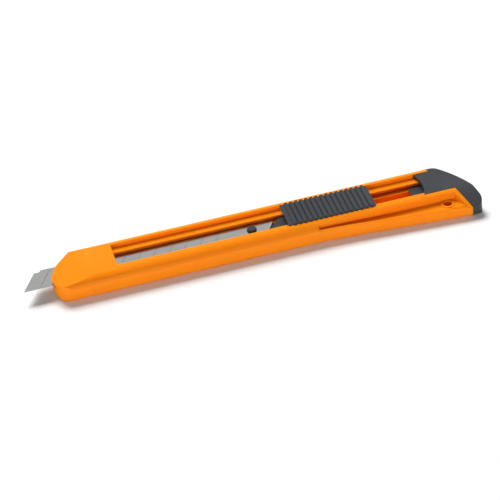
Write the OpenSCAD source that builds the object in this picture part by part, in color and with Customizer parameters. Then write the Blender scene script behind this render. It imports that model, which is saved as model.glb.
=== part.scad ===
// Slim snap-off utility knife for a 9 mm segmented blade.
// X runs from the nose (negative) to the end cap (positive), Z is up from the flat back.
// The origin lies on the flat back, under the blade's centreline, halfway along the handle.

/* [Handle] */
// Length of the handle from the nose to the end of the cap
handle_len = 137; // [135:1:170]
// Width of the handle in front of the grip
handle_w = 18.6; // [15.5:0.1:24]
// Height of the handle from the flat back to the rail tops
handle_h = 6.75; // [6.4:0.05:9]
// Height of the straight side wall under the rounded shoulder
side_h = 4.45; // [3.8:0.05:5]
// How far the rounded shoulder bulges beyond a straight chamfer
shoulder_bulge = 0.5; // [0.1:0.05:0.6]
// Small chamfer round the edge of the flat back
base_chamfer = 0.7; // [0.2:0.05:1]
// Width of the flat along the top of each rail
rail_top = 0.4; // [0.2:0.1:0.8]

/* [Grip] */
// Extra width of the grip at its rear end
grip_flare = 4.3; // [2:0.1:6]
// Length of the flared part of the grip
grip_len = 57; // [50:1:60]
// Height of the grip's side wall at the rear end
grip_side_h = 3.5; // [3:0.05:4.4]
// Distance from the handle's near rear corner to the end of the cap
end_setback = 3.6; // [3:0.1:5]
// Slant of the handle's rear end, in degrees
end_slant = 22.7; // [10:0.1:25]
// Length of the pocket in the grip
pocket_len = 45; // [35:1:48]
// Distance from the pocket's rear end to the end of the handle
pocket_tail = 7.6; // [7.4:0.1:9]
// Width of the pocket at its front end
pocket_front_w = 1.4; // [0.6:0.1:1.6]
// Height of the pocket's floor
pocket_z = 3.85; // [2.5:0.05:4]
// Thickness of the wall between the pocket and the channel
pocket_wall = 1.65; // [1:0.05:2]
// Width of the rim along the outside of the pocket
pocket_rim = 0.7; // [0.5:0.05:1.2]
// Diameter of the lanyard hole
lanyard_d = 2.8; // [2.4:0.1:3.6]
// Width of the raised ring round the lanyard hole
lanyard_ring = 0.6; // [0.4:0.1:0.8]
// Height of the raised ring above the pocket's floor
lanyard_ring_h = 0.25; // [0.2:0.05:0.5]

/* [Nose] */
// Radius of the nose's corner beside the cutting edge, seen from above
nose_near_r = 6; // [3:0.1:7]
// Radius of the nose's corner beside the blade's back, seen from above
nose_far_r = 5.5; // [3:0.1:6]
// How far the corner beside the blade's back is set back
nose_setback = 3.3; // [1:0.1:5]
// How far the top of that corner leans back
nose_lean = 3; // [0:0.1:4]
// Distance that the hood dips towards the nose
nose_dip = 1.3; // [0.2:0.1:1.5]
// Length over which the hood dips
nose_dip_len = 16; // [8:1:18]
// Radius under the front of the nose
nose_under_r = 2.6; // [0.5:0.1:3]
// Extra width of the mouth beside the blade's cutting edge
mouth_extra = 1.3; // [0:0.1:2]
// Length of the hood over the blade
hood_len = 20.6; // [18:0.1:24]

/* [Blade] */
// Width of the blade
blade_w = 9; // [8:0.1:10]
// Thickness of the blade
blade_t = 0.38; // [0.3:0.01:0.6]
// Length of the blade along one edge
blade_edge_len = 77.7; // [70:0.1:80]
// Distance between two score lines, one click of the slider
segment = 5; // [4.5:0.1:5.5]
// Number of score lines across the blade
score_lines = 12; // [8:1:12]
// Angle of the score lines, the point and the tail to the cutting edge
score_angle = 60; // [45:1:70]
// Depth of the score lines
score_depth = 0.13; // [0.05:0.01:0.15]
// Width of the ground bevel along the cutting edge
bevel_w = 1.2; // [0.5:0.1:2]
// How far the blade's point stands out of the nose
blade_out = 9.2; // [4:0.1:9.5]
// Diameter of the hole near the blade's tail
blade_hole_d = 3.2; // [2.4:0.1:3.6]
// Distance from the hole to the blade's tail, along the centreline
blade_hole_tail = 6.3; // [5:0.1:8]

/* [Channel] */
// Height of the floor that the blade slides on
floor_z = 3.8; // [3:0.05:4]
// Height of the ledges that the thumb slider runs on
ledge_z = 5.35; // [5:0.05:5.6]
// Width of the slot between the two ledges
slot_w = 6; // [4.8:0.1:8]
// Width of the groove for the carrier's arm
groove_w = 2.9; // [2.4:0.1:4]
// Height of the groove's floor
groove_z = 1.5; // [1.2:0.1:1.8]
// Depth of the click notches in the groove's floor
notch_depth = 0.4; // [0.2:0.05:0.6]

/* [Thumb slider] */
// Length of the slider's thumb pad
slider_len = 28.8; // [24:0.1:30]
// Width of the slider's thumb pad
slider_w = 11.4; // [10:0.1:11.6]
// Height of the rib tops above the rail tops
slider_rise = 0.75; // [0.4:0.05:1.5]
// Number of grip ribs across the pad
rib_count = 16; // [10:1:18]
// Distance from one rib to the next
rib_pitch = 1.67; // [1.2:0.01:1.7]
// Height of each rib
rib_h = 0.6; // [0.2:0.05:0.6]
// Distance from the blade's hole to the front lip of the pad
slider_gap = 10.6; // [8:0.1:12]
// Gap between the blade's tail and the carrier's foot
foot_gap = 1.3; // [0.5:0.1:2]
// Height of the carrier's foot, which shows in front of the thumb pad
foot_h = 0.75; // [0.5:0.05:1.2]

/* [End cap] */
// Radius of the long curve round the tail, seen from above
tail_r = 41.8; // [36:0.1:60]
// Radius of the tail's outer corner
tail_corner_r = 3; // [1:0.1:4]
// Length of the cap's plate between the rails, from its front to the end of the handle
cap_plate_len = 17; // [14:0.5:18]
// How far the cap's flat tongue reaches ahead of the plate
cap_tongue = 2.9; // [1:0.1:4]
// Thickness of the cap's flat tongue
cap_tongue_t = 0.45; // [0.3:0.05:0.6]
// Depth of the hollow in the front of the plate
cap_scoop = 1.2; // [0.2:0.1:2]

/* [Fits] */
// Side clearance of the parts that slide in the channel
slide_gap = 0.15; // [0.1:0.01:0.3]
// Clearance above and below the blade and the slider
lift_gap = 0.05; // [0.03:0.01:0.15]
// Radial clearance between the stud and the blade's hole
stud_gap = 0.08; // [0.05:0.01:0.1]
// Gap between the end cap and the handle
cap_gap = 0.12; // [0.05:0.01:0.3]
// Clearance round the pegs that hold the thumb pad on its carrier
peg_gap = 0.03; // [0.02:0.01:0.1]

/* [Hidden] */
$fn = 48;
eps = 0.01;

handle_colour = [0.97, 0.58, 0.13];
dark_colour = [0.24, 0.25, 0.27];
steel_colour = [0.66, 0.66, 0.65];

half_w = handle_w / 2;
slot_half = slot_w / 2;
recess_half = slider_w / 2 + slide_gap;
blade_half = blade_w / 2;
blade_slot_half = blade_half + slide_gap;
slant = 1 / tan(score_angle);

// Blade and carrier places along X, measured from the nose
blade_z = floor_z + lift_gap;
blade_top = blade_z + blade_t;
lip_z = blade_top + 2.5 * lift_gap;
tail_x = blade_edge_len - blade_out + slant * blade_half;
stud_x = tail_x - blade_hole_tail;
stud_d = blade_hole_d - 2 * stud_gap;
stud_top = blade_top + 0.7;
slider_x = stud_x + slider_gap;
pad_lip = 1.3;
arm_lead = 3;
clicks_back = 2;
clicks_forward = 10;

// The grip's flare starts as an arc and runs on straight
flare_x0 = handle_len - grip_len;
flare_x1 = handle_len - end_setback;
flare_bend = 0.3;
bulge_fade = 0.8;
function flare_at(t) =
    (t <= 0 ? 0 : t < flare_bend ? t * t / (2 * flare_bend) : t < 1 ? t - flare_bend / 2
        : 1 - flare_bend / 2) / (1 - flare_bend / 2);
function flare_t(x) = (x - flare_x0) / (flare_x1 - flare_x0);
function near_w(x) = half_w + grip_flare * flare_at(flare_t(x));
function near_side_h(x) = side_h + (grip_side_h - side_h) * flare_at(flare_t(x));
function near_bulge(x) = shoulder_bulge * (1 - bulge_fade * flare_at(flare_t(x)));

// A shallow arc from point a to point b that bulges to the left by h, as a list of points
function arc_points(a, b, h, n) =
    let (d = b - a, c = norm(d), u = d / c, v = [-u[1], u[0]])
    [for (i = [0 : n]) let (s = i / n) a + u * c * s + v * 4 * h * s * (1 - s)];

shoulder_y = recess_half + rail_top;
shoulder_steps = 6;

// The handle's outline in the YZ plane at a station x, anticlockwise seen from the tail
function section(x) = let (w = near_w(x), s = near_side_h(x)) concat(
    [[-w + base_chamfer, 0], [half_w - base_chamfer, 0], [half_w, base_chamfer]],
    [for (p = arc_points([half_w, side_h], [shoulder_y, handle_h], -shoulder_bulge, shoulder_steps)) p],
    [for (p = arc_points([-shoulder_y, handle_h], [-w, s], -near_bulge(x), shoulder_steps)) p],
    [[-w, base_chamfer]]
);

station_step = 3.5;
stations = concat([-2], [for (x = [flare_x0 : station_step : handle_len + 4]) x]);

// Solid of the outer skin, longer than the handle at both ends
module skin() {
    n = len(section(0));
    m = len(stations);
    points = [for (x = stations) for (p = section(x)) [x, p[0], p[1]]];
    sides = [for (i = [0 : m - 2]) for (j = [0 : n - 1])
        let (a = i * n + j, b = i * n + (j + 1) % n)
        each [[a, b + n, b], [a, a + n, b + n]]];
    front = [for (j = [0 : n - 1]) j];
    rear = [for (j = [n - 1 : -1 : 0]) (m - 1) * n + j];
    polyhedron(points, concat([front, rear], sides));
}

module from_nose() {
    translate([-handle_len / 2, 0, 0]) children();
}

// Box given by its ranges along X, Y and Z
module block(x, y, z) {
    translate([x[0], y[0], z[0]]) cube([x[1] - x[0], y[1] - y[0], z[1] - z[0]]);
}

// A side view in the XZ plane, extruded across the handle from -half to +half
module across(half) {
    translate([0, half, 0]) rotate([90, 0, 0]) linear_extrude(2 * half) children();
}

// Nose seen from above: two round corners, the far one set back
module nose_plan(lean) {
    hull() {
        translate([nose_near_r, -half_w + nose_near_r]) circle(nose_near_r);
        translate([nose_far_r + nose_setback + lean, half_w - nose_far_r]) circle(nose_far_r);
        translate([hood_len, -half_w]) square([1, handle_w]);
    }
}

// The whole handle's outline as a block, with the far corner of the nose leaning back
module nose_block() {
    hull() {
        linear_extrude(floor_z) nose_plan(0);
        translate([0, 0, handle_h]) linear_extrude(eps) nose_plan(nose_lean);
    }
    wide = handle_w + 2 * (grip_flare + 2);
    translate([hood_len, -wide / 2, 0]) cube([handle_len, wide, handle_h + 1]);
}

// Nose seen from the side: rounded underneath, with a top that dips
module nose_side() {
    function top(x) = let (t = min(1, x / nose_dip_len))
        handle_h - nose_dip * (1 - t * t * (3 - 2 * t));
    polygon(concat(
        [for (a = [180 : 15 : 270]) [nose_under_r * (1 + cos(a)), nose_under_r * (1 + sin(a))]],
        [[handle_len + 5, 0], [handle_len + 5, handle_h + 1], [nose_dip_len, handle_h + 1]],
        [for (i = [8 : -1 : 0]) [nose_dip_len * i / 8, top(nose_dip_len * i / 8)]]
    ));
}

// The rear end of the handle is a slanted plane, from one flank to the other
function end_x(y) = handle_len - end_setback - tan(end_slant) * (y + half_w + grip_flare);

// Everything in front of the slanted end, moved back by shift
module ahead_of_end(shift) {
    far = half_w + 5;
    near = -half_w - grip_flare - 5;
    translate([0, 0, -1]) linear_extrude(handle_h + 3) polygon([
        [-5, near], [end_x(near) + shift, near], [end_x(far) + shift, far], [-5, far]
    ]);
}

pocket_y = recess_half + pocket_wall;
pocket_wedge = 14;
pocket_least_w = 0.6;
rim_near_y = half_w + grip_flare - pocket_rim;
pocket_x1 = handle_len - pocket_tail;
pocket_x0 = pocket_x1 - pocket_len;
pocket_corner_x = pocket_x1 + tan(end_slant) * (rim_near_y - pocket_y);
function rim_y(x) = -(near_w(x) - pocket_rim * (1 + flare_at(flare_t(x))) / 2);
pocket_front_y = min(rim_y(pocket_x0) + pocket_front_w, max(-pocket_y, rim_y(pocket_x0) + pocket_least_w));

// Pocket seen from above: a long wedge that widens with the grip
module pocket_plan() {
    polygon(concat(
        [[pocket_x0, pocket_front_y], [pocket_x0 + pocket_wedge, -pocket_y], [pocket_x1, -pocket_y]],
        [for (i = [8 : -1 : 0]) let (x = pocket_x0 + (pocket_corner_x - pocket_x0) * i / 8) [x, rim_y(x)]]
    ));
}

lanyard_inset = 3;
lanyard_x = pocket_x1 - lanyard_inset;
lanyard_y = -pocket_y - lanyard_d / 2 - lanyard_ring;

// Shallow notches in the groove's floor, one for each click
notch_half = 3 * notch_depth;
notch_side = 0.2;
module notch_row() {
    for (i = [-clicks_forward : clicks_back])
        translate([spring_tip_x + i * segment, 0, 0])
            across(groove_w / 2 - notch_side)
                polygon([[-notch_half, groove_z + eps], [0, groove_z - notch_depth],
                    [notch_half, groove_z + eps]]);
}

module channel() {
    beyond = handle_len + 5;
    top = handle_h + 5;
    // Room for the thumb slider above the ledges, and the slot between them
    block([hood_len, beyond], [-recess_half, recess_half], [ledge_z, top]);
    block([hood_len - 1, beyond], [-slot_half, slot_half], [floor_z, ledge_z + eps]);
    // Tunnel under the hood for the stud's head
    block([stud_tunnel_x, hood_len], [-stud_d, stud_d], [floor_z, stud_top + stud_clear]);
    // Blade slot, from the mouth to the rear end
    block([-2, beyond], [-blade_slot_half, blade_slot_half], [floor_z, lip_z]);
    block([-2, nose_near_r / 2], [-blade_slot_half - mouth_extra, 0], [floor_z, lip_z]);
    block([groove_x, beyond], [-groove_w / 2, groove_w / 2], [groove_z, floor_z + eps]);
}

travel_forward = clicks_forward * segment;
stud_clear = 0.25;
stud_tunnel_x = stud_x - travel_forward - stud_d;
groove_x = stud_x - travel_forward - arm_lead - 1;

module handle() {
    color(handle_colour) from_nose() difference() {
        union() {
            difference() {
                intersection() {
                    skin();
                    nose_block();
                    across(half_w + grip_flare + 2) nose_side();
                    ahead_of_end(0);
                }
                translate([0, 0, pocket_z]) linear_extrude(handle_h) pocket_plan();
            }
            translate([lanyard_x, lanyard_y, pocket_z - eps])
                cylinder(d = lanyard_d + 2 * lanyard_ring, h = lanyard_ring_h + eps);
        }
        channel();
        notch_row();
        translate([lanyard_x, lanyard_y, -1]) cylinder(d = lanyard_d, h = handle_h + 2);
    }
}

// Blade seen from above; the cutting edge is on the -Y side
point_notch_w = 0.85;
point_notch_l = 1.6;
point_notch_slope = 0.7;
module blade_plan() {
    x0 = -blade_out;
    slope_w = slant * blade_w;
    back_x = x0 + slant * (blade_w - point_notch_w);
    polygon([
        [x0, -blade_half],
        [x0 + blade_edge_len, -blade_half],
        [x0 + blade_edge_len + slope_w, blade_half],
        [back_x + point_notch_l + point_notch_slope, blade_half],
        [back_x + point_notch_l, blade_half - point_notch_w],
        [back_x, blade_half - point_notch_w]
    ]);
}

edge_t = 0.06;
module blade() {
    bevel_l = blade_edge_len * 2;
    score_w = score_depth * sqrt(2);
    color(steel_colour) from_nose() translate([0, 0, blade_z]) difference() {
        linear_extrude(blade_t) blade_plan();
        translate([stud_x, 0, -1]) cylinder(d = blade_hole_d, h = 3);
        // Score lines, cut in the upper face
        for (i = [1 : score_lines])
            translate([-blade_out + i * segment + slant * blade_half, 0, blade_t])
                rotate([0, 0, score_angle])
                    rotate([45, 0, 0])
                        cube([blade_w * 2, score_w, score_w], center = true);
        // Ground bevel, on both faces of the cutting edge
        for (side = [0, 1])
            translate([-bevel_l / 4, -blade_half, side * blade_t])
                mirror([0, 0, side])
                    rotate([90, 0, 90]) linear_extrude(bevel_l)
                        polygon([[-1, -1], [bevel_w, -1], [bevel_w, 0], [0, (blade_t - edge_t) / 2],
                            [-1, (blade_t - edge_t) / 2]]);
    }
}

// Blade carrier: an arm in the groove under the blade, a low foot behind the blade's tail
// and a neck up through the slot to the thumb pad
arm_half = groove_w / 2 - slide_gap;
arm_z = groove_z + 0.75;
foot_x = tail_x + foot_gap;
neck_inset = 0.8;
neck_tail = 3;
neck_x0 = slider_x + pad_lip + neck_inset;
neck_x1 = slider_x + slider_len - neck_tail;
neck_half = slot_half - slide_gap;
stud_chamfer = 0.3;
peg_w = 3;
peg_l = 5;
peg_h = 0.9;
pad_z = ledge_z + lift_gap;
peg_inset = 3;
peg_places = [neck_x0 + peg_inset, neck_x1 - peg_inset - peg_l];
spring_slot_l = 9;
spring_reach = 12;
spring_side = 0.3;
spring_t = 0.25;
spring_slot_x = neck_x1 - spring_slot_l;
spring_w = 2 * (arm_half - spring_side);
spring_tip_x = spring_slot_x - spring_reach;
root_z = arm_z + 0.3;

module blade_carrier() {
    color(dark_colour) from_nose() difference() {
        union() {
            block([stud_x - arm_lead, neck_x1], [-arm_half, arm_half], [arm_z, floor_z]);
            translate([stud_x, 0, floor_z - eps]) cylinder(r = arm_half, h = lift_gap + 2 * eps);
            translate([stud_x, 0, blade_z]) cylinder(d = stud_d, h = stud_top - stud_chamfer - blade_z);
            translate([stud_x, 0, stud_top - stud_chamfer])
                cylinder(d1 = stud_d, d2 = stud_d - 2 * stud_chamfer, h = stud_chamfer);
            // Foot, with its front face parallel to the blade's tail
            translate([0, 0, blade_z]) linear_extrude(foot_h) polygon([
                [foot_x - slant * neck_half, -neck_half], [neck_x1, -neck_half],
                [neck_x1, neck_half], [foot_x + slant * neck_half, neck_half]
            ]);
            block([neck_x0, neck_x1], [-arm_half, arm_half], [arm_z, pad_z]);
            block([neck_x0, neck_x1], [-neck_half, neck_half], [blade_z, pad_z]);
            for (x = peg_places) block([x, x + peg_l], [-peg_w / 2, peg_w / 2], [pad_z - eps, pad_z + peg_h]);
        }
        // Slit that grips the root of the spring, and room for its leaf to flex
        block([spring_slot_x - eps, neck_x1 + 1], [-spring_w / 2 - eps, spring_w / 2 + eps],
            [root_z, root_z + spring_t]);
        block([spring_tip_x - 4, spring_slot_x], [-groove_w, groove_w],
            [arm_z - 1, root_z + spring_t + notch_depth / 2]);
    }
}

// Side view of the thumb pad: hollow front, ribs along the top
pad_top = handle_h + slider_rise - rib_h;
rib_x0 = slider_x + pad_lip + 0.3;
rib_ramp = rib_pitch * 0.1;
rib_flat = rib_pitch * 0.54;
module pad_side() {
    front = [for (p = arc_points([slider_x + pad_lip, pad_z], [slider_x, pad_top], -pad_lip / 2, 6)) p];
    ribs = [for (i = [0 : rib_count - 1]) let (x = rib_x0 + i * rib_pitch) each [
        [x, pad_top], [x + rib_ramp, pad_top + rib_h],
        [x + rib_ramp + rib_flat, pad_top + rib_h], [x + 2 * rib_ramp + rib_flat, pad_top]
    ]];
    rear = slider_x + slider_len;
    polygon(concat(front, ribs, [[rear, pad_top], [rear, pad_z]]));
}

module thumb_slider() {
    color(dark_colour) from_nose() difference() {
        across(slider_w / 2) pad_side();
        for (x = peg_places)
            block([x - peg_gap, x + peg_l + peg_gap], [-peg_w / 2 - peg_gap, peg_w / 2 + peg_gap],
                [pad_z - 1, pad_z + peg_h + peg_gap]);
    }
}

// Leaf spring: its root is held in the carrier and its tip rests in a click notch
spring_root_l = 6;
spring_bend_l = 1;
spring_toe_l = 1.4;
spring_heel_l = 1.2;
spring_lift = 0.15;
module detent_spring() {
    low_z = groove_z - notch_depth + 0.1;
    leaf = [
        [spring_slot_x + spring_root_l, root_z],
        [spring_slot_x - spring_bend_l, root_z],
        [spring_tip_x + spring_heel_l, groove_z + spring_lift],
        [spring_tip_x, low_z],
        [spring_tip_x - spring_toe_l, groove_z + 2 * spring_lift]
    ];
    color(steel_colour) from_nose() translate([0, 0, eps]) across(spring_w / 2)
        polygon(concat(leaf, [for (i = [len(leaf) - 1 : -1 : 0]) leaf[i] + [0, spring_t - 2 * eps]]));
}

// End cap seen from above: a long curve round the tail with a rounded outer corner
cap_y = -half_w - grip_flare;
tail_drop = 8;
tail_centre_y = cap_y - tail_drop;
tail_reach_y = cap_y + tail_corner_r;
tail_trim = 0.3;
tail_centre_x = handle_len + tail_trim - sqrt(pow(tail_r, 2) - pow(tail_reach_y - tail_centre_y, 2));
module tail_plan() {
    offset(r = tail_corner_r) offset(delta = -tail_corner_r) intersection() {
        translate([tail_centre_x, tail_centre_y]) circle(tail_r, $fn = 180);
        translate([0, cap_y]) square([handle_len * 2, handle_w * 2]);
    }
}

cap_x = handle_len - cap_plate_len;
tongue_r = 1.5;
plug_inset = 0.4;
plug_x = cap_x + cap_scoop + plug_inset;

// The cap's plate seen from above, with a hollow front edge
module cap_plate_plan(half) {
    front = arc_points([cap_x, half], [cap_x, -half], cap_scoop, 12);
    polygon(concat(front, [[handle_len, -half], [handle_len, half]]));
}

module end_cap() {
    plate_half = recess_half - cap_gap;
    plug_half = slot_half - cap_gap;
    wing_half = blade_slot_half - cap_gap;
    key_half = groove_w / 2 - cap_gap;
    color(dark_colour) from_nose() {
        // Flange behind the handle's slanted end
        intersection() {
            difference() {
                skin();
                ahead_of_end(cap_gap);
            }
            linear_extrude(handle_h + 1) tail_plan();
        }
        // Plate between the rails, plug in the slot and key in the groove
        intersection() {
            union() {
                translate([0, 0, pad_z]) linear_extrude(handle_h - pad_z) cap_plate_plan(plate_half);
                block([plug_x, handle_len], [-plug_half, plug_half], [blade_z, pad_z + eps]);
                block([plug_x, handle_len], [-wing_half, wing_half], [blade_z, blade_top]);
                block([plug_x, handle_len], [-key_half, key_half], [groove_z + cap_gap, blade_z + eps]);
                hull() for (side = [-1, 1])
                    translate([cap_x - cap_tongue + tongue_r, side * (plug_half - tongue_r), blade_z])
                        cylinder(r = tongue_r, h = cap_tongue_t);
                block([cap_x - cap_tongue + tongue_r, plug_x + eps], [-plug_half, plug_half],
                    [blade_z, blade_z + cap_tongue_t]);
            }
            ahead_of_end(cap_gap + eps);
        }
    }
}

handle();
blade();
blade_carrier();
thumb_slider();
detent_spring();
end_cap();
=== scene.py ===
"""Looks of the slim snap-off utility knife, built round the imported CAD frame.

X runs towards the end cap, so the blade points along -X; the cutting edge and the flared side
of the grip face -Y; Z is up from the flat back. Lengths are in metres, and MM turns
millimetres into them.
"""

import math

import bmesh
import bpy
from mathutils import Matrix, Vector


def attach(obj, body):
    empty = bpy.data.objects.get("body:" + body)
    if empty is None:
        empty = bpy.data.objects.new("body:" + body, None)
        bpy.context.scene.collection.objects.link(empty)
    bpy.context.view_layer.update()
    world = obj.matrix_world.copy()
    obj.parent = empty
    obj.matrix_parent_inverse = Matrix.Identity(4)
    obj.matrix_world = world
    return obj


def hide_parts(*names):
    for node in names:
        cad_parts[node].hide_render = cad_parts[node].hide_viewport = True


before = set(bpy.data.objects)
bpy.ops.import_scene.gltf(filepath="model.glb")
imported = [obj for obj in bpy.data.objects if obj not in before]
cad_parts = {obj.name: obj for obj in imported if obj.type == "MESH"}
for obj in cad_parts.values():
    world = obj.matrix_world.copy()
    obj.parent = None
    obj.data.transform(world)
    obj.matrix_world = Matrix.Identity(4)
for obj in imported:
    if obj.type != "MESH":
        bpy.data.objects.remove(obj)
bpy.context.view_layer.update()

MM = 0.001

# ---------------------------------------------------------------- materials

ORANGE = (0.90, 0.245, 0.004)
ORANGE_PALE = (0.91, 0.268, 0.006)
DARK = (0.033, 0.036, 0.041)
DARK_PALE = (0.047, 0.050, 0.056)
STEEL = (0.35, 0.355, 0.345)
STEEL_PALE = (0.43, 0.432, 0.42)
# Grey for painted shade in the steel's hollows and score-line grooves
GROOVE_SHADE = (0.12, 0.12, 0.115)
SPRING = (0.55, 0.54, 0.52)
SPRING_PALE = (0.64, 0.63, 0.61)


class Nodes:
    """A material's node tree, with short calls to add and join nodes."""

    def __init__(self, name):
        self.material = bpy.data.materials.new(name)
        self.material.use_nodes = True
        self.tree = self.material.node_tree
        self.shader = self.tree.nodes["Principled BSDF"]
        self.place = self.add("ShaderNodeTexCoord").outputs["Object"]

    def add(self, kind, **settings):
        made = self.tree.nodes.new(kind)
        for key, value in settings.items():
            setattr(made, key, value)
        return made

    def join(self, a, b):
        self.tree.links.new(a, b)

    def noise(self, per_mm, detail=2.0, stretch=None):
        """Noise with so many features per millimetre; stretch scales it along X, Y and Z."""
        made = self.add("ShaderNodeTexNoise")
        made.inputs["Scale"].default_value = per_mm / MM
        made.inputs["Detail"].default_value = detail
        place = self.place
        if stretch:
            mapping = self.add("ShaderNodeMapping")
            mapping.inputs["Scale"].default_value = stretch
            self.join(place, mapping.inputs["Vector"])
            place = mapping.outputs["Vector"]
        self.join(place, made.inputs["Vector"])
        return made.outputs["Fac"]

    def remap(self, value, low, high, to_low, to_high):
        made = self.add("ShaderNodeMapRange", clamp=True)
        for key, number in (("From Min", low), ("From Max", high), ("To Min", to_low), ("To Max", to_high)):
            made.inputs[key].default_value = number
        self.join(value, made.inputs["Value"])
        return made.outputs["Result"]

    def mix(self, share, a, b):
        """Colour between a and b; each is a socket or three numbers."""
        made = self.add("ShaderNodeMix", data_type="RGBA")
        self.join(share, made.inputs["Factor"])
        for key, value in (("A", a), ("B", b)):
            socket = next(s for s in made.inputs if s.name == key and s.type == "RGBA")
            if isinstance(value, tuple):
                socket.default_value = (*value, 1.0)
            else:
                self.join(value, socket)
        return next(s for s in made.outputs if s.type == "RGBA")

    def math(self, operation, a, b):
        made = self.add("ShaderNodeMath", operation=operation)
        for socket, value in zip(made.inputs, (a, b)):
            if isinstance(value, (int, float)):
                socket.default_value = value
            else:
                self.join(value, socket)
        return made.outputs["Value"]

    def edges(self, low, high):
        """0 on flat faces and 1 on outer edges, where a part rubs; with the bounds swapped it is 1 in hollows,
        which the steel uses for painted shade.
        """
        return self.remap(self.add("ShaderNodeNewGeometry").outputs["Pointiness"], low, high, 0.0, 1.0)

    def bump(self, height, depth, below=None):
        made = self.add("ShaderNodeBump")
        made.inputs["Distance"].default_value = depth
        made.inputs["Strength"].default_value = 1.0
        self.join(height, made.inputs["Height"])
        if below:
            self.join(below, made.inputs["Normal"])
        return made.outputs["Normal"]

    def finish(self, colour, roughness, normal):
        self.join(colour, self.shader.inputs["Base Color"])
        self.join(roughness, self.shader.inputs["Roughness"])
        self.join(normal, self.shader.inputs["Normal"])
        return self.material


def plastic(name, colour, pale, rough_low, rough_high, grain_depth, specular, depth=0.0):
    """Moulded plastic: faint cloudiness, a fine grain and edges that are a little paler.

    depth is how far light spreads inside it; 0 is opaque.
    """
    n = Nodes(name)
    if depth:
        n.shader.inputs["Subsurface Weight"].default_value = 0.6
        # Red travels further than green and blue
        n.shader.inputs["Subsurface Radius"].default_value = (1.0, 0.45, 0.12)
        n.shader.inputs["Subsurface Scale"].default_value = depth
    cloud = n.remap(n.noise(0.05, 3.0), 0.35, 0.65, 0.0, 0.55)
    fine = n.noise(6.0, 2.0)
    worn = n.math("MULTIPLY", n.edges(0.52, 0.62), n.remap(n.noise(0.5), 0.35, 0.6, 0.25, 0.8))
    tint = n.mix(n.math("MAXIMUM", cloud, worn), colour, pale)
    uneven = n.remap(n.noise(0.35, 4.0), 0.3, 0.7, rough_low, rough_high)
    rough = n.math("ADD", uneven, n.math("MULTIPLY", worn, 0.06))
    n.shader.inputs["Specular IOR Level"].default_value = specular
    return n.finish(tint, rough, n.bump(fine, grain_depth, n.bump(n.noise(0.12, 2.0), 0.02 * MM)))


def steel(name, colour, pale, rough_low, rough_high, lines):
    """Ground steel: fine parallel lines, faint smears, brighter edges and painted shade darkening hollows such
    as the score lines.
    """
    n = Nodes(name)
    n.shader.inputs["Metallic"].default_value = 1.0
    grind = n.noise(2.5, 4.0, lines)
    smear = n.noise(0.15, 4.0)
    share = n.math("ADD", n.remap(grind, 0.3, 0.7, 0.0, 0.45), n.remap(smear, 0.4, 0.7, 0.0, 0.35))
    ground = n.mix(n.math("MAXIMUM", share, n.edges(0.55, 0.7)), colour, pale)
    # Painted shade: hollows such as the score-line grooves are darkened towards a flat grey, standing in for
    # the shade inside the V grooves
    tint = n.mix(n.edges(0.49, 0.42), ground, GROOVE_SHADE)
    rough = n.math("ADD", n.remap(smear, 0.3, 0.7, rough_low, rough_high), n.remap(grind, 0.3, 0.7, 0.0, 0.05))
    return n.finish(tint, rough, n.bump(grind, 0.0015 * MM))


orange = plastic("orange_plastic", ORANGE, ORANGE_PALE, 0.40, 0.50, 0.0012 * MM, 0.12, 1.5 * MM)
dark = plastic("dark_plastic", DARK, DARK_PALE, 0.46, 0.58, 0.004 * MM, 0.25)
blade_steel = steel("blade_steel", STEEL, STEEL_PALE, 0.16, 0.22, (0.06, 1.0, 1.0))
spring_steel = steel("spring_steel", SPRING, SPRING_PALE, 0.22, 0.32, (0.05, 1.0, 1.0))


# ---------------------------------------------------------------- mesh helpers

def add_piece(bm, name, body, material, stands_for=(), smooth=True):
    """Turns a bmesh into a piece that rides on a CAD body and stands for CAD nodes."""
    mesh = bpy.data.meshes.new(name)
    bmesh.ops.recalc_face_normals(bm, faces=bm.faces)
    bm.to_mesh(mesh)
    bm.free()
    mesh.materials.append(material)
    if smooth:
        mesh.shade_smooth()
    piece = bpy.data.objects.new(name, mesh)
    bpy.context.scene.collection.objects.link(piece)
    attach(piece, body)
    if stands_for:
        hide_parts(*stands_for)
    return piece


def soften(piece, width, segments=3, angle=28.0):
    """Rounds every sharp edge, and keeps the flat faces flat."""
    bevel = piece.modifiers.new("round_edges", "BEVEL")
    bevel.width = width
    bevel.segments = segments
    bevel.limit_method = "ANGLE"
    bevel.angle_limit = math.radians(angle)
    bevel.use_clamp_overlap = False
    bevel.miter_outer = "MITER_ARC"
    flat = piece.modifiers.new("flat_faces", "WEIGHTED_NORMAL")
    flat.keep_sharp = True
    return piece


def cad_shape(node, flat=0.3):
    """A CAD node's shape, with triangles that differ by less than flat degrees merged into faces."""
    bm = bmesh.new()
    bm.from_mesh(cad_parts[node].data)
    bmesh.ops.remove_doubles(bm, verts=bm.verts, dist=0.001 * MM)
    bmesh.ops.dissolve_limit(bm, angle_limit=math.radians(flat), verts=bm.verts, edges=bm.edges)
    return bm


# ---------------------------------------------------------------- pieces

# Triangles of the twisted shoulders and of the tail's curve differ by up to about 1.5 degrees
NEARLY_FLAT = 1.6


def rounded_copy(node, name, body, material, width, flat=0.3, segments=3):
    """A CAD node's shape with rounded edges, as a piece that stands for the node."""
    return soften(add_piece(cad_shape(node, flat), name, body, material, [node]), width, segments)


rounded_copy("handle", "handle_shell", "handle", orange, 0.1 * MM, NEARLY_FLAT)
rounded_copy("end_cap", "tail_cap", "cap", dark, 0.12 * MM, NEARLY_FLAT)
rounded_copy("thumb_slider", "thumb_pad", "slider", dark, 0.1 * MM)
rounded_copy("blade_carrier", "carrier", "slider", dark, 0.06 * MM)
# The blade is ground flat and keeps its sharp edges
add_piece(cad_shape("blade"), "segmented_blade", "slider", blade_steel, ["blade"], smooth=False)
rounded_copy("detent_spring", "click_spring", "slider", spring_steel, 0.04 * MM, segments=2)

# ---------------------------------------------------------------- floor, light and camera


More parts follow.
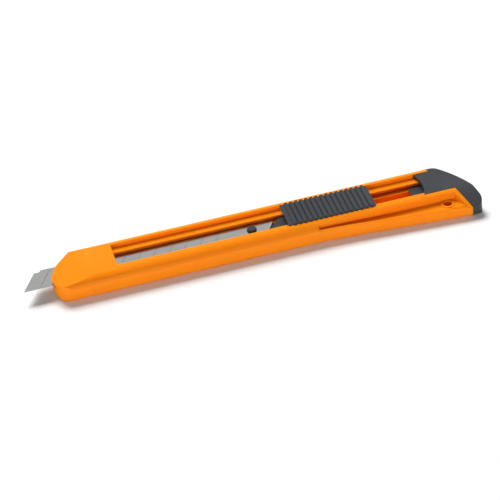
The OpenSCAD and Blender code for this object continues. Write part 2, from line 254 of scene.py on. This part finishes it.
def add_floor():
    bm = bmesh.new()
    bmesh.ops.create_grid(bm, x_segments=1, y_segments=1, size=3.0)
    mesh = bpy.data.meshes.new("floor")
    bm.to_mesh(mesh)
    bm.free()
    n = Nodes("pale_floor")
    tint = n.mix(n.noise(0.01), (0.93, 0.93, 0.925), (0.95, 0.95, 0.945))
    n.shader.inputs["Specular IOR Level"].default_value = 0.2
    n.finish(tint, n.remap(n.noise(0.02), 0.3, 0.7, 0.6, 0.7), n.bump(n.noise(1.0), 0.002 * MM))
    mesh.materials.append(n.material)
    floor = bpy.data.objects.new("floor", mesh)
    floor.location.z = -0.02 * MM
    bpy.context.scene.collection.objects.link(floor)


def aim(thing, place, target):
    thing.location = place
    thing.rotation_mode = "QUATERNION"
    thing.rotation_quaternion = (Vector(target) - Vector(place)).to_track_quat("-Z", "Y")


def add_softbox(name, place, size, power, glossy=True):
    """A soft light aimed at the knife; glossy=False keeps its reflection off shiny faces."""
    light = bpy.data.lights.new(name, "AREA")
    light.shape = "RECTANGLE"
    light.size, light.size_y = size
    light.energy = power
    lamp = bpy.data.objects.new(name, light)
    bpy.context.scene.collection.objects.link(lamp)
    lamp.visible_glossy = glossy
    lamp.visible_camera = False
    aim(lamp, place, (0, 0, 0))


def add_world(shown, shining):
    """White surroundings of one strength to look at and in reflections, and a lower one for light."""
    world = bpy.data.worlds.new("studio")
    world.use_nodes = True
    tree = world.node_tree
    background = tree.nodes["Background"]
    background.inputs["Color"].default_value = (1, 1, 1, 1)
    rays = tree.nodes.new("ShaderNodeLightPath")
    strength = tree.nodes.new("ShaderNodeMapRange")
    strength.inputs["To Min"].default_value = shown
    strength.inputs["To Max"].default_value = shining
    tree.links.new(rays.outputs["Is Diffuse Ray"], strength.inputs["Value"])
    tree.links.new(strength.outputs["Result"], background.inputs["Strength"])
    bpy.context.scene.world = world


def add_camera():
    """A long lens from the near side and the blade's end, 37 degrees above the floor."""
    yaw, pitch, roll = 0.204, 0.6492, -0.106
    forward = Vector((math.sin(yaw) * math.cos(pitch), math.cos(yaw) * math.cos(pitch), -math.sin(pitch)))
    level = Vector((math.cos(yaw), -math.sin(yaw), 0))
    up = level.cross(forward)
    right = math.cos(roll) * level + math.sin(roll) * up
    above = math.cos(roll) * up - math.sin(roll) * level
    data = bpy.data.cameras.new("camera")
    data.sensor_width = 36.0
    data.lens = 158.4
    data.clip_start, data.clip_end = 0.05, 20.0
    camera = bpy.data.objects.new("camera", data)
    bpy.context.scene.collection.objects.link(camera)
    turn = Matrix((right, above, -forward)).transposed().to_4x4()
    camera.matrix_world = Matrix.Translation(Vector((-117.0, -541.6, 416.4)) * MM) @ turn
    bpy.context.scene.camera = camera


add_floor()
add_world(1.0, 0.18)
add_softbox("key", (-0.1, 0.8, 0.85), (0.75, 0.6), 21.0, glossy=False)
add_softbox("front_fill", (-0.25, -1.2, 0.16), (0.9, 0.2), 8.5)
add_camera()
bpy.context.scene.view_settings.view_transform = "Standard"
bpy.context.scene.view_settings.look = "None"
